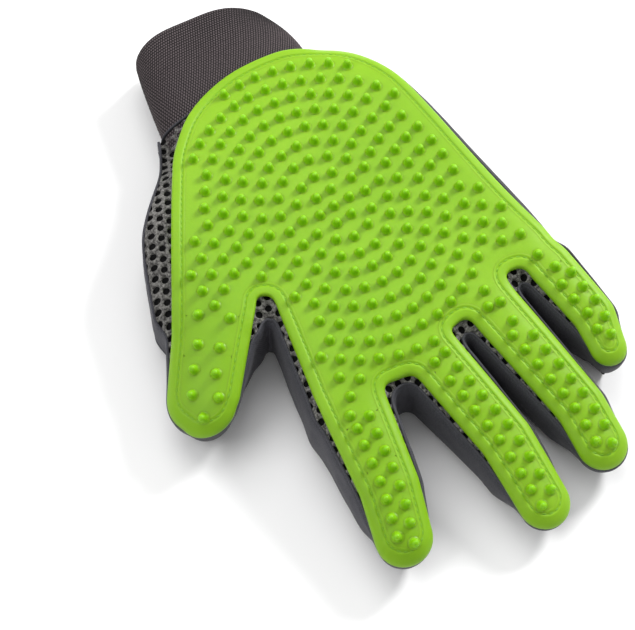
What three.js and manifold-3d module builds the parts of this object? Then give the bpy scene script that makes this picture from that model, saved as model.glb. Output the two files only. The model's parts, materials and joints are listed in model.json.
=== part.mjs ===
// Pet grooming glove for the right hand, lying on its back with the padded palm up.
// Millimetres, +Z up out of the palm, fingers towards -Y, thumb towards -X.
// Every panel is a thin curved sheet: a grid that follows two height functions, cut to its pattern piece.
import * as THREE from 'three';
import { mergeVertices } from 'three/addons/utils/BufferGeometryUtils.js';
import Module from 'manifold-3d';

const wasm = await Module();
wasm.setup();

// ---------------------------------------------------------------- driving dimensions

const DATUM = new THREE.Vector2(8.3, 6.2); // centre of the outline, in the plan the patterns are drawn in
const PAD_THICKNESS = 1.6;
const MESH_THICKNESS = 1.6; // air mesh of the palm and back panels
const GUSSET_THICKNESS = 1.4;
const SEAM_GAP = 0.3; // between pieces that are sewn face to face
const CREASE_GAP = 0.6; // between the two sides of a finger crease
const PALM_HEIGHT = 30; // pad skin above the table in the middle of the palm
const FINGER_DROOP = 18; // how far the finger tips sink below the palm
const THUMB_DROOP = 16;
const HEEL_DROOP = 4.5;
const DROOP_POWER = { tips: 1.3, thumb: 1.6, heel: 2 }; // how late each droop sets in
const PALM_CROWN = 3; // how far the palm side rolls down at its edges
const BACK_ROLL = 2.5; // how far the back rolls up at its edges
const ROLL_WIDTH = 12; // width of that rolled border
const GRID = { x: 6.5, y: 13 }; // spacing of the sheets' grid
const GUSSET_OVERHANG = 2.6; // fabric that stands out beyond the pad round each finger
const WRIST_Y = 80.5; // end of the mesh panels, where the cuff is sewn on
const BACK_STEP = { from: 65, to: 79 }; // where the back of the hand steps up to the cuff
const BLOCK = { bottom: -20, top: 60, far: 200 }; // blocks that cut the sheets reach well past them

const NUB_RADIUS = 1.9;
const NUB_HEIGHT = 3;
const NUB_SIDES = 5;
const NUB_SINK = 0.6;
const NUB_RIM = 5.2; // nub centres keep this far from the pad's edge
const NUB_CREASE = 3.4; // and this far from a finger crease
const NUB_DIGIT = 1; // palm nubs stay this far outside the fingers' outlines, beyond the creases
// The palm's nubs stand in rings round one centre: ring n has 6 n nubs, turned by its own angle in degrees.
const RINGS = {
  centre: new THREE.Vector2(24, 23.5),
  pitch: new THREE.Vector2(6, 6.6),
  turns: [0, -6, -2, -8, -2, 1, 2, -3, 0, -1, 1],
};
const FINGER_NUBS = { pitch: 3.1, sway: 2.7 }; // two staggered columns
const THUMB_NUBS = { pitch: 4.1, sway: 4 };

// Pad centre lines: centres of the root and tip circles, half widths, and how far along the creases lie.
const FINGERS = [
  { name: 'index', root: [-13.5, -40], tip: [-25.1, -81.6], half: [10.6, 9.5], creases: [50, 70] },
  { name: 'middle', root: [19.4, -42], tip: [19.9, -97.4], half: [9.3, 8.8], creases: [50, 77] },
  { name: 'ring', root: [46, -38], tip: [47.2, -92.4], half: [9.2, 8.7], creases: [47, 74] },
  { name: 'little', root: [71, -34], tip: [69.6, -67.5], half: [7.8, 6.8], creases: [42, 58.5] },
];
const THUMB = { name: 'thumb', root: [-36, 10.5], tip: [-51, -6], half: [13.2, 11.2], creases: [0, 16] };

// Palm outlines, anticlockwise from the fork between the thumb and the index finger.
const PAD_PALM = [
  [-14.2, 8], [-14, 3], [-21, -22], [-25, -42], [3, -40], [31, -36], [57, -31.5], [77, -32],
  [75, -15], [74.3, 8], [74, 48], [71.5, 61.5], [65, 75], [52, 85], [40, 88.8], [26, 90], [9, 85.8],
  [-4, 76.5], [-11, 68.5], [-46.5, 17.5], [-27, 1], [-17.5, 10], [-15.2, 10],
];
const BODY_PALM = [
  [-17.5, 5], [-17.5, 0], [-24.3, -22], [-28.5, -43], [3, -43], [31, -39.5], [57, -34.5], [80, -34],
  [78.3, -12], [77.3, 10], [76.8, 47], [74.5, 62], [67, 75], [57, 84], [57, 130], [-4, 130], [-4, 86],
  [-9, 79], [-14, 70], [-25, 60.5], [-33, 53], [-41, 39], [-48.5, 24], [-34, 10], [-24.8, -1],
];

const CUFF = { left: -4, right: 57, low: 3.7, high: 21.8, start: WRIST_Y + 0.5, end: 116, wall: 2, corner: 9 };
const CUFF_TAPER = 0.78; // width of the open end over the width at the seam
const CUFF_LEAN = 4; // how far the open end stands towards the little finger
const CUFF_SKEW = 0.22; // how much longer the cuff is towards the thumb, per mm of width
// The cuff's slit: its binding and the insert behind it stop a little short of the cuff's open end.
const SLIT = { left: 16, right: 32, start: 61, border: 3, lap: 3, bindingShort: 1, insertShort: 2 };
const INSERT_THICKNESS = 0.9;
const TAB = { left: 12, right: 48, front: 86, back: 110, thickness: 1.4, corner: 4 };
const PATCH = { left: 34, right: 46, front: 89, back: 107, thickness: 0.7 };

const PAD_GREEN = fabric('#86c81e', 0.5);
const MESH_GREY = fabric('#64625f', 0.9);
const GUSSET_GREY = fabric('#55555f', 0.8);
const CUFF_GREY = fabric('#4b444b', 0.95);
const TAB_BROWN = fabric('#50463e', 0.6);
const TAPE_BLACK = fabric('#2a292c', 0.95);

function fabric(color, roughness) {
  return new THREE.MeshStandardMaterial({ color, roughness, metalness: 0 });
}

// ---------------------------------------------------------------- plan geometry

const vec = ([x, y]) => new THREE.Vector2(x, y);

/**
 * Adds to a digit its direction, the direction its creases are square to, and the point of its centre line
 * from which the creases are measured. The thumb's creases are square to its own line. The fingers' creases
 * all lie along X and are measured from y = 0, so the fingers curl side by side without touching.
 */
function withDirections(digit, towardsTip) {
  const root = vec(digit.root);
  const tip = vec(digit.tip);
  const along = tip.clone().sub(root).normalize();
  const square = towardsTip ?? along;
  const origin = towardsTip ? root.clone().addScaledVector(along, -root.y / along.y) : root;
  return { ...digit, root, tip, along, square, origin };
}

const fingers = FINGERS.map((finger) => withDirections(finger, new THREE.Vector2(0, -1)));
const digits = [withDirections(THUMB), ...fingers];

/** Distance from a point to the edge of a digit's outline, positive inside. */
function depthInDigit(point, digit, overhang) {
  const length = digit.tip.distanceTo(digit.root);
  const t = THREE.MathUtils.clamp(point.clone().sub(digit.root).dot(digit.along) / length, 0, 1);
  const half = THREE.MathUtils.lerp(digit.half[0], digit.half[1], t) + overhang;
  return half - point.distanceTo(digit.root.clone().lerp(digit.tip, t));
}

/** Distance from a point to the edge of a polygon, positive inside. */
function depthInPolygon(point, outline) {
  let nearest = Infinity;
  let inside = false;
  outline.forEach((end, i) => {
    const a = vec(outline[(i + outline.length - 1) % outline.length]);
    const b = vec(end);
    const edge = b.clone().sub(a);
    const t = THREE.MathUtils.clamp(point.clone().sub(a).dot(edge) / edge.lengthSq(), 0, 1);
    nearest = Math.min(nearest, point.distanceTo(a.clone().addScaledVector(edge, t)));
    if ((a.y > point.y) !== (b.y > point.y) && point.x < a.x + (edge.x * (point.y - a.y)) / edge.y) {
      inside = !inside;
    }
  });
  return inside ? nearest : -nearest;
}

/** Distance from a point to the edge of the whole fabric body, positive inside. */
function depthInBody(x, y) {
  const point = new THREE.Vector2(x, y);
  const depths = digits.map((digit) => depthInDigit(point, digit, GUSSET_OVERHANG));
  return Math.max(depthInPolygon(point, BODY_PALM), ...depths);
}

/** 0 in the middle of the hand, 1 at the edge of the fabric. */
function roll(x, y) {
  return THREE.MathUtils.clamp(1 - depthInBody(x, y) / ROLL_WIDTH, 0, 1.2) ** 2;
}

/** Height of the pad's skin: highest in the palm, lower towards the tips, the thumb and the heel. */
function padSkin(x, y) {
  const toTips = THREE.MathUtils.clamp((-20 - y) / 100, 0, 1);
  const toThumb = THREE.MathUtils.clamp((-22 - x) / 45, 0, 1);
  const toHeel = THREE.MathUtils.clamp((y - 45) / 40, 0, 1.2);
  const droop = FINGER_DROOP * toTips ** DROOP_POWER.tips
    + THUMB_DROOP * toThumb ** DROOP_POWER.thumb
    + HEEL_DROOP * toHeel ** DROOP_POWER.heel;
  return PALM_HEIGHT - droop - PALM_CROWN * roll(x, y);
}

/** Height of the back panel's outer face: flat on the table, rolled up at the edges. */
function backSkin(x, y) {
  return BACK_ROLL * roll(x, y);
}

const offset = (height, by) => (x, y) => height(x, y) + by;

const padBottom = offset(padSkin, -PAD_THICKNESS);
const palmTop = offset(padBottom, -SEAM_GAP);
const palmBottom = offset(palmTop, -MESH_THICKNESS);
const backTop = offset(backSkin, MESH_THICKNESS);
const gussetTop = offset(palmBottom, -SEAM_GAP);
const gussetBottom = offset(backTop, SEAM_GAP);

// ---------------------------------------------------------------- solids

/** Manifold solid of a three.js geometry. */
function solid(geometry) {
  const bare = geometry.clone();
  bare.deleteAttribute('normal');
  bare.deleteAttribute('uv');
  const merged = mergeVertices(bare, 1e-4);
  const vertProperties = new Float32Array(merged.attributes.position.array);
  const triVerts = new Uint32Array(merged.index.array);
  return new wasm.Manifold(new wasm.Mesh({ numProp: 3, vertProperties, triVerts }));
}

/** Named mesh of a manifold solid. */
function named(name, material, shape) {
  const mesh = shape.getMesh();
  const geometry = new THREE.BufferGeometry();
  geometry.setAttribute('position', new THREE.BufferAttribute(new Float32Array(mesh.vertProperties), 3));
  geometry.setIndex(new THREE.BufferAttribute(new Uint32Array(mesh.triVerts), 1));
  geometry.computeVertexNormals();
  const result = new THREE.Mesh(geometry, material.clone());
  result.name = name;
  return result;
}

function prism(shape) {
  const depth = BLOCK.top - BLOCK.bottom;
  const geometry = new THREE.ExtrudeGeometry(shape, { depth, bevelEnabled: false, curveSegments: 6 });
  return solid(geometry.translate(0, 0, BLOCK.bottom));
}

const polygon = (outline) => prism(new THREE.Shape(outline.map(vec)));

/** Rectangular block over a stretch of the plan, as tall as the blocks that cut the sheets. */
const tall = (x0, x1, y0, y1) => box(x0, x1, y0, y1, BLOCK.bottom, BLOCK.top);

function box(x0, x1, y0, y1, z0, z1) {
  const geometry = new THREE.BoxGeometry(x1 - x0, y1 - y0, z1 - z0);
  return solid(geometry.translate((x0 + x1) / 2, (y0 + y1) / 2, (z0 + z1) / 2));
}

/** Upright block with the plan of a digit: two straight sides between two round ends. */
function digitPrism(digit, overhang) {
  const shape = new THREE.Shape();
  const angle = digit.along.angle();
  const quarter = Math.PI / 2;
  shape.absarc(digit.tip.x, digit.tip.y, digit.half[1] + overhang, angle - quarter, angle + quarter, false);
  shape.absarc(digit.root.x, digit.root.y, digit.half[0] + overhang, angle + quarter, angle - quarter, false);
  return prism(shape);
}

/** Upright block across a digit, from one distance along it to another. */
function across(digit, from, to) {
  const halfWidth = digit.half[0] + GUSSET_OVERHANG + GUSSET_THICKNESS;
  const side = new THREE.Vector2(-digit.square.y, digit.square.x);
  const slant = digit.along.clone().divideScalar(digit.along.dot(digit.square));
  const corner = (distance, by) =>
    digit.origin.clone().addScaledVector(slant, distance).addScaledVector(side, by);
  return prism(new THREE.Shape([
    corner(from, -halfWidth),
    corner(to, -halfWidth),
    corner(to, halfWidth),
    corner(from, halfWidth),
  ]));
}

/** Curved sheet between two heights over a plan block: the grid is shared, so sheets nest exactly. */
function sheet(plan, bottom, top) {
  const { min, max } = plan.boundingBox();
  const x0 = Math.floor(min[0] / GRID.x) - 1;
  const y0 = Math.floor(min[1] / GRID.y) - 1;
  const columns = Math.ceil(max[0] / GRID.x) + 1 - x0;
  const rows = Math.ceil(max[1] / GRID.y) + 1 - y0;
  const positions = [];
  for (const height of [bottom, top]) {
    for (let j = 0; j <= rows; j += 1) {
      for (let i = 0; i <= columns; i += 1) {
        const x = (x0 + i) * GRID.x;
        const y = (y0 + j) * GRID.y;
        positions.push(x, y, height(x, y));
      }
    }
  }
  const width = columns + 1;
  const layer = width * (rows + 1);
  const index = [];
  for (let j = 0; j < rows; j += 1) {
    for (let i = 0; i < columns; i += 1) {
      const a = j * width + i;
      const quad = [a, a + 1, a + 1 + width, a, a + 1 + width, a + width];
      index.push(...quad.map((v) => v + layer), ...quad.reverse());
    }
  }
  const wall = (a, b) => index.push(a, b, b + layer, a, b + layer, a + layer);
  for (let i = 0; i < columns; i += 1) {
    wall(i, i + 1);
    wall(rows * width + i + 1, rows * width + i);
  }
  for (let j = 0; j < rows; j += 1) {
    wall(j * width + columns, (j + 1) * width + columns);
    wall((j + 1) * width, j * width);
  }
  const geometry = new THREE.BufferGeometry();
  geometry.setAttribute('position', new THREE.Float32BufferAttribute(positions, 3));
  geometry.setIndex(index);
  return solid(geometry).intersect(plan);
}

/** Polygon moved inwards by a distance. */
function inset(outline, distance) {
  return outline.map((corner, i) => {
    const here = vec(corner);
    const before = here.clone().sub(vec(outline[(i + outline.length - 1) % outline.length])).normalize();
    const after = vec(outline[(i + 1) % outline.length]).sub(here).normalize();
    const mitre = before.clone().add(after).normalize();
    const inwards = new THREE.Vector2(-mitre.y, mitre.x);
    const stretch = Math.min(2, 1 / Math.max(0.3, mitre.dot(before)));
    return here.addScaledVector(inwards, distance * stretch).toArray();
  });
}

// ---------------------------------------------------------------- plans of the pattern pieces

const half = CREASE_GAP / 2;
const BEYOND = 150; // past every finger tip
const body = digits.reduce((all, d) => all.add(digitPrism(d, GUSSET_OVERHANG)), polygon(BODY_PALM));
const inner = digits.reduce(
  (all, d) => all.add(digitPrism(d, GUSSET_OVERHANG - GUSSET_THICKNESS)),
  polygon(inset(BODY_PALM, GUSSET_THICKNESS)),
);
const padPlan = digits.reduce((all, d) => all.add(digitPrism(d, 0)), polygon(PAD_PALM));
const border = body.subtract(inner);
const hand = tall(-BEYOND, BEYOND, -BEYOND, WRIST_Y);

/** What is left of a plan when every digit beyond its first crease is taken away. */
function palmPart(plan) {
  return digits.reduce((rest, d) => rest.subtract(across(d, d.creases[0] - half, BEYOND)), plan);
}

/** The stretch of a digit between two distances along it. */
function stretchOf(digit, overhang, from, to) {
  return digitPrism(digit, overhang).intersect(across(digit, from, to));
}

// ---------------------------------------------------------------- nubs

/** Centres of the palm's nubs: rings that stop where the pad or the fingers begin. */
function palmNubs() {
  const centres = [RINGS.centre.clone()];
  RINGS.turns.forEach((turn, i) => {
    const ring = i + 1;
    for (let k = 0; k < 6 * ring; k += 1) {
      const angle = THREE.MathUtils.degToRad(turn + (k * 60) / ring);
      const arm = new THREE.Vector2(Math.cos(angle), Math.sin(angle)).multiplyScalar(ring);
      centres.push(arm.multiply(RINGS.pitch).add(RINGS.centre));
    }
  });
  return centres.filter((point) => depthInPad(point) > NUB_RIM
    && digits.every((digit) => depthInDigit(point, digit, 0) < -NUB_DIGIT
      || reachAlong(point, digit) < digit.creases[0] - 2 * NUB_CREASE));
}

/** Centres of a digit's nubs: two staggered columns. */
function digitNubs(digit) {
  const { pitch, sway } = digit.name === 'thumb' ? THUMB_NUBS : FINGER_NUBS;
  const side = new THREE.Vector2(-digit.along.y, digit.along.x);
  const length = digit.tip.distanceTo(digit.root) + digit.half[1] - NUB_RIM;
  const centres = [];
  for (let k = 0; k * pitch < length; k += 1) {
    const spread = k * pitch + pitch > length ? 0 : sway;
    const shift = k % 2 === 0 ? spread : -spread;
    centres.push(digit.root.clone().addScaledVector(digit.along, k * pitch).addScaledVector(side, shift));
  }
  return centres;
}

function depthInPad(point) {
  return Math.max(depthInPolygon(point, PAD_PALM), ...digits.map((d) => depthInDigit(point, d, 0)));
}

/** How far a point lies along a digit, in the measure its creases use. */
function reachAlong(point, digit) {
  return point.clone().sub(digit.origin).dot(digit.square);
}

function nub(point) {
  const geometry = new THREE.ConeGeometry(NUB_RADIUS, NUB_HEIGHT + NUB_SINK, NUB_SIDES);
  geometry.rotateX(Math.PI / 2);
  const z = padSkin(point.x, point.y) - NUB_SINK + (NUB_HEIGHT + NUB_SINK) / 2;
  return solid(geometry.translate(point.x, point.y, z));
}

/** Pad of a plan block, with those of the given nubs that stand well inside it. */
function padOf(plan, nubs) {
  const skin = sheet(plan, padBottom, padSkin);
  return wasm.Manifold.union([skin, ...nubs.map(nub)]);
}

// ---------------------------------------------------------------- the hand

const glove = new THREE.Group();
glove.position.set(-DATUM.x, -DATUM.y, 0);

function addDigit(digit) {
  const [first, second] = digit.creases;
  const nubs = digitNubs(digit);
  const segments = [
    { part: 'base', from: first + half, to: second - half },
    { part: 'tip', from: second + half, to: BEYOND },
  ];
  for (const { part, from, to } of segments) {
    const plan = stretchOf(digit, GUSSET_OVERHANG, from, to);
    const pad = stretchOf(digit, 0, from, to);
    const wall = border.intersect(plan);
    const own = nubs.filter((point) => {
      const reach = reachAlong(point, digit);
      return reach > from + NUB_CREASE && reach < to - NUB_CREASE;
    });
    const prefix = `${digit.name}_${part}`;
    glove.add(named(`${prefix}_pad`, PAD_GREEN, padOf(pad, own)));
    glove.add(named(`${prefix}_palm_mesh`, MESH_GREY, sheet(plan, palmBottom, palmTop)));
    glove.add(named(`${prefix}_back_mesh`, MESH_GREY, sheet(plan, backSkin, backTop)));
    const gusset = sheet(wall, gussetBottom, gussetTop);
    if (part === 'tip') {
      glove.add(named(`${prefix}_gusset`, GUSSET_GREY, gusset));
    } else {
      const sides = gusset.decompose().sort((a, b) => a.boundingBox().min[0] - b.boundingBox().min[0]);
      glove.add(named(`${prefix}_gusset_thumb_side`, GUSSET_GREY, sides[0]));
      glove.add(named(`${prefix}_gusset_little_side`, GUSSET_GREY, sides[1]));
    }
  }
}

function addPalm() {
  const nubs = palmNubs();
  const panel = palmPart(body).intersect(hand);
  const slit = tall(SLIT.left, SLIT.right, SLIT.start, BLOCK.far);
  glove.add(named('palm_pad', PAD_GREEN, padOf(palmPart(padPlan), nubs)));
  glove.add(named('palm_mesh', MESH_GREY, sheet(panel, palmBottom, palmTop)));
  glove.add(named('back_mesh', MESH_GREY, sheet(panel.subtract(slit), backSkin, backTop)));

  const walls = sheet(palmPart(border).intersect(hand), gussetBottom, gussetTop).decompose();
  const names = [
    { name: 'gusset_thumb_edge', near: new THREE.Vector2(-30, 56) },
    { name: 'gusset_little_edge', near: new THREE.Vector2(77, 20) },
    { name: 'fork_thumb_index', near: new THREE.Vector2(-20, -10) },
    { name: 'fork_index_middle', near: new THREE.Vector2(3, -43) },
    { name: 'fork_middle_ring', near: new THREE.Vector2(31, -39) },
    { name: 'fork_ring_little', near: new THREE.Vector2(57.5, -35) },
  ];
  const nearness = (wall, point) => {
    const { min, max } = wall.boundingBox();
    return point.distanceTo(new THREE.Vector2((min[0] + max[0]) / 2, (min[1] + max[1]) / 2));
  };
  for (const { name, near } of names) {
    const wall = walls.reduce((best, w) => (nearness(w, near) < nearness(best, near) ? w : best));
    glove.add(named(name, GUSSET_GREY, wall));
  }
}

// ---------------------------------------------------------------- the wrist

/** Rectangle with round corners, as a shape. */
function roundedRectangle(x0, x1, y0, y1, radius) {
  const shape = new THREE.Shape();
  shape.absarc(x1 - radius, y0 + radius, radius, -Math.PI / 2, 0, false);
  shape.absarc(x1 - radius, y1 - radius, radius, 0, Math.PI / 2, false);
  shape.absarc(x0 + radius, y1 - radius, radius, Math.PI / 2, Math.PI, false);
  shape.absarc(x0 + radius, y0 + radius, radius, Math.PI, 1.5 * Math.PI, false);
  return shape;
}

/** Ring of elastic that narrows and leans towards its open end, with a slit along its underside. */
function elasticCuff() {
  const { left, right, low, high, start, end, wall, corner } = CUFF;
  const section = roundedRectangle(left, right, low, high, corner);
  section.holes.push(roundedRectangle(left + wall, right - wall, low + wall, high - wall, corner - wall));
  const geometry = new THREE.ExtrudeGeometry(section, {
    depth: end - start, steps: 1, bevelEnabled: false, curveSegments: 6,
  });
  geometry.rotateX(Math.PI / 2).translate(0, end, 0);
  const position = geometry.attributes.position;
  const middle = (left + right) / 2;
  for (let i = 0; i < position.count; i += 1) {
    const t = (position.getY(i) - start) / (end - start);
    const aside = (position.getX(i) - middle) * THREE.MathUtils.lerp(1, CUFF_TAPER, t);
    position.setX(i, middle + aside + CUFF_LEAN * t);
    position.setY(i, position.getY(i) - CUFF_SKEW * aside * t);
  }
  const slit = box(SLIT.left, SLIT.right, start - corner, BLOCK.far, low - corner, low + wall + SEAM_GAP);
  return solid(geometry).subtract(slit);
}

/** Rises from one height to another where the back of the hand steps up to the cuff. */
function step(low, high) {
  const { from, to } = BACK_STEP;
  return (x, y) => THREE.MathUtils.lerp(low, high, THREE.MathUtils.smoothstep(y, from, to));
}

function addWrist() {
  const inCuff = CUFF.low + CUFF.wall;
  glove.add(named('elastic_cuff', CUFF_GREY, elasticCuff()));

  const { left, right, start, border, lap } = SLIT;
  const insertPlan = tall(left - lap, right + lap, start - lap, CUFF.end - SLIT.insertShort);
  const under = MESH_THICKNESS + SEAM_GAP;
  const underCuff = inCuff + SEAM_GAP;
  const insert = sheet(insertPlan, step(under, underCuff),
    step(under + INSERT_THICKNESS, underCuff + INSERT_THICKNESS));
  glove.add(named('slit_insert', GUSSET_GREY, insert));

  const outer = tall(left + SEAM_GAP, right - SEAM_GAP, start + SEAM_GAP, CUFF.end - SLIT.bindingShort);
  const opening = tall(left + border, right - border, start + border, BLOCK.far);
  const binding = sheet(outer.subtract(opening), step(SEAM_GAP, CUFF.low), step(MESH_THICKNESS, inCuff));
  glove.add(named('slit_binding', GUSSET_GREY, binding));

  const loopTop = CUFF.low - SEAM_GAP;
  const loop = box(PATCH.left, PATCH.right, PATCH.front, PATCH.back, loopTop - PATCH.thickness, loopTop);
  glove.add(named('loop_patch', TAPE_BLACK, loop));
  const hookBottom = TAB.thickness + SEAM_GAP;
  const hook = box(PATCH.left, PATCH.right, PATCH.front, PATCH.back, hookBottom, hookBottom + PATCH.thickness);
  glove.add(named('hook_patch', TAPE_BLACK, hook));
  const tab = roundedRectangle(TAB.left, TAB.right, TAB.front, TAB.back, TAB.corner);
  const depth = TAB.thickness;
  const geometry = new THREE.ExtrudeGeometry(tab, { depth, bevelEnabled: false, curveSegments: 4 });
  glove.add(named('closure_tab', TAB_BROWN, solid(geometry)));
}

addPalm();
digits.forEach(addDigit);
addWrist();

export default glove;
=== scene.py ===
"""Looks of the grooming glove: moulded pad, air mesh, stretch gussets, woven cuff, tab and stitching.

Shapes are drawn in plan, in millimetres, by the same few dimensions as the frame's patterns, and lifted by
height functions. Each soft sheet is cut into a palm piece and two pieces per digit, one for each of the
digit's joints.
"""
import json
import math

import bpy
import numpy as np
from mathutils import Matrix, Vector, kdtree


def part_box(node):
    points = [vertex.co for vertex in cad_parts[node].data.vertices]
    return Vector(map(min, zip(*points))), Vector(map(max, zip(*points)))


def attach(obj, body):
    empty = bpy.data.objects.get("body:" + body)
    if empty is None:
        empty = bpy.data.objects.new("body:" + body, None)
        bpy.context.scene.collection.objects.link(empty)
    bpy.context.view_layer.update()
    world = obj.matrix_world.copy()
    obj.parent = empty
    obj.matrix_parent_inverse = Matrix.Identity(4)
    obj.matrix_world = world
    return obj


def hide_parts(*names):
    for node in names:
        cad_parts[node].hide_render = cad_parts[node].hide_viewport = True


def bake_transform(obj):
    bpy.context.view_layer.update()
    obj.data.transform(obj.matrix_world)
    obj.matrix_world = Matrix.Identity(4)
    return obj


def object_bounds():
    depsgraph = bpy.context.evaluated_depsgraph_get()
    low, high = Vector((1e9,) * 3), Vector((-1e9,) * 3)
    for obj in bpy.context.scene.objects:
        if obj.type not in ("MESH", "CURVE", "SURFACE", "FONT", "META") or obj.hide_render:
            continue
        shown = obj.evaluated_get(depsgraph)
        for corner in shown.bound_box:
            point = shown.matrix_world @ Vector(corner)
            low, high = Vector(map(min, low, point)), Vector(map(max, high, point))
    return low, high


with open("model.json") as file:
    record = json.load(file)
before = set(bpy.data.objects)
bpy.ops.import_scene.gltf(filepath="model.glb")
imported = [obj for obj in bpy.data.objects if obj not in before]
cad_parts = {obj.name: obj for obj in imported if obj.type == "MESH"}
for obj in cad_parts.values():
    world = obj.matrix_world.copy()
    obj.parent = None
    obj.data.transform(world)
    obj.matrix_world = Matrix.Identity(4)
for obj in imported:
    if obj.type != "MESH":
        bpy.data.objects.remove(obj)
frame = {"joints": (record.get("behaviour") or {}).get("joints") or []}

cad_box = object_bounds()
rng = np.random.default_rng(7)

# ---- driving dimensions, mm

TAB_PLAN = (12.0, 48.0, 86.0, 110.0)  # the tab's sides in the plan that the outlines are drawn in
CUFF_PLAN_X = (-4.0, 57.0)
CUFF_PLAN_END = 116.0
CUFF_TAPER = 0.78  # width of the open end over the width at the seam
CUFF_LEAN = 4.0  # how far the open end stands towards the little finger
CUFF_SKEW = 0.22  # how much longer the cuff is towards the thumb, per mm of width
CUFF_BELLY = 1.0  # how far the little finger's side bows out
CUFF_ARCH = (2.5, 6.0)  # how far the open end stands out in its middle and falls back at its sides
SECTION_POWER = 2.8  # of the cuff's section, between an ellipse (2) and a box
SECTION_LIMIT = 0.985  # share of the half width up to which the cuff has a face above and below
PALM_HEIGHT = 30.0
TIP_DROOP = (18.0, 20.0, 100.0, 1.3)  # how far the face sinks, from where, over what length, to what power
THUMB_DROOP = (16.0, 22.0, 45.0, 1.6)
HEEL_DROOP = (4.5, 45.0, 40.0, 2.0)
PALM_CROWN = 3.0
BACK_ROLL = 2.5
ROLL_WIDTH = 12.0
EDGE_TURN = {"palm": 1.6, "back": 1.5}  # how far the outermost EDGE_WIDTH turns beyond the roll
EDGE_WIDTH = 5.0
PAD_THICKNESS = 1.6
PAD_LIFT = 0.3  # pad over palm panel
SEAM_INSET = 1.5  # seams lie this far inside the widest outline
WRAP, WRAP_Y, WRAP_X = 1.2, (8, 22), (2, -6)  # less than that along the heel of the thumb, where it sets in
BAND, BAND_X, BAND_Y = 1.3, (60, 66), (-32, -24)  # more than that along the palm's other side
TUCK = 5.0  # the back panel is this much smaller than the palm panel round the digits' ends
TUCK_LENGTH = 16.0  # over this length of a finger, and of the thumb from this reach on
TUCK_THUMB = -4.0
TUCK_SIDE = 40.0  # how steeply it ends beside a digit
FORK_ROUNDING = 3.0
OUTLINE_STEP = 0.8
SPLIT_BEFORE_KNUCKLE = 5.5  # where the palm pieces end and the digit pieces begin

WEAVE = {"around": 1.05, "along": 0.86, "height": 0.34, "shift": 0.36}  # one bump of the woven elastic
HOLE_PITCH = 3.8
ZONE_SPARE = {"thumb": 5.0, "index": 1.4, "middle": 1.4, "ring": 1.4, "little": 1.4}  # beyond the outlines

DIGITS = {  # pad centre lines, their half widths, and how far the fabric stands out beyond the pad
    "thumb": ([(-29.2, 17.4), (-48.5, -3.4), (-50, -7.2)], [13.6, 12.3, 10], [2.4, 1.0, 0.5]),
    "index": ([(-13, -37.5), (-19.5, -66), (-25.1, -81.6)], [11.1, 10, 9.5], [3, 2, 0.6]),
    "middle": ([(19.1, -40.3), (21.6, -74.6), (19.7, -97.4)], [9.4, 9.1, 8.8], [3, 2.2, 0.7]),
    "ring": ([(45.3, -32.9), (48.9, -79.2), (47.5, -92.4)], [9.3, 8.6, 8.7], [3, 2, 0.9]),
    "little": ([(70.2, -34.3), (71.9, -56.5), (69.4, -67.8)], [7.8, 7.4, 6.3], [3, 2, 0.9]),
}
DIGITS = {name: dict(zip(("line", "half", "lap"), map(np.array, rows))) for name, rows in DIGITS.items()}
PAD_PALM = [
    (-12.1, 8.9), (-13.4, 3.2), (-20, -19.9), (-23.7, -33.6), (-8.9, -38.5), (0.2, -38), (15.8, -41.7),
    (31, -33), (45.8, -37.3), (55.5, -27.7), (67.3, -33.5), (78, -31.6), (75.4, -11.5), (74.5, 6.7),
    (74.5, 48.9), (72.1, 61.6), (65.9, 75.1), (52.2, 85.6), (39.8, 89.3), (25, 90.5), (8, 85.8),
    (-4.8, 75.8), (-11.4, 68.2), (-51.6, 10.2), (-30.4, 4.3), (-18.7, 13.5), (-15.4, 11.1),
]
BODY_PALM = [
    (-17, 4), (-17.5, 0), (-24.3, -22), (-28.5, -42), (3, -42.5), (31, -39), (57, -34), (79, -33),
    (79.2, -12), (78.4, 10), (77.4, 47), (74.5, 62), (67, 75), (57.5, 83), (57, 96), (57, 130), (-4, 130),
    (-4, 96), (-4.5, 87), (-9, 79), (-15, 70.8), (-26.4, 61.5), (-34.1, 53.8), (-42.4, 36.9), (-48.6, 23.4),
    (-34, 10), (-24.8, -1),
]
WRIST_Y = 81.0
WRIST_START = 66.0  # where the panels begin to draw in to the cuff
LAP_ON_CUFF = 0.2
TRACE_X, TRACE_Y = (-82, 100), (-124, 136)  # plan box in which outlines are traced

# ---- plan and frame

cuff_low, cuff_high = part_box("elastic_cuff")
tab_low, tab_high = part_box("closure_tab")
ORIGIN = np.array([
    sum(TAB_PLAN[:2]) / 2 - 500 * (tab_low.x + tab_high.x),
    sum(TAB_PLAN[2:]) / 2 - 500 * (tab_low.y + tab_high.y),
])  # the frame's origin in the plan


def to_frame(points):
    """Plan millimetres to frame metres."""
    placed = np.array(points, float)
    placed[..., :2] -= ORIGIN
    return placed / 1000


def joint(name):
    return next(j for j in frame["joints"] if j["name"] == name)


for name, digit in DIGITS.items():
    knuckle, bend = joint(f"{name}_knuckle"), joint(f"{name}_bend")
    axis = np.array(knuckle["axis"][:2], float)
    digit["square"] = np.array([-axis[1], axis[0]]) / np.linalg.norm(axis)
    digit["knuckle"] = 1000 * np.array(knuckle["pos_m"][:2]) + ORIGIN
    digit["bend"] = 1000 * float((np.array(bend["pos_m"][:2]) - knuckle["pos_m"][:2]) @ digit["square"])
    digit["spare"] = ZONE_SPARE[name]


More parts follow.
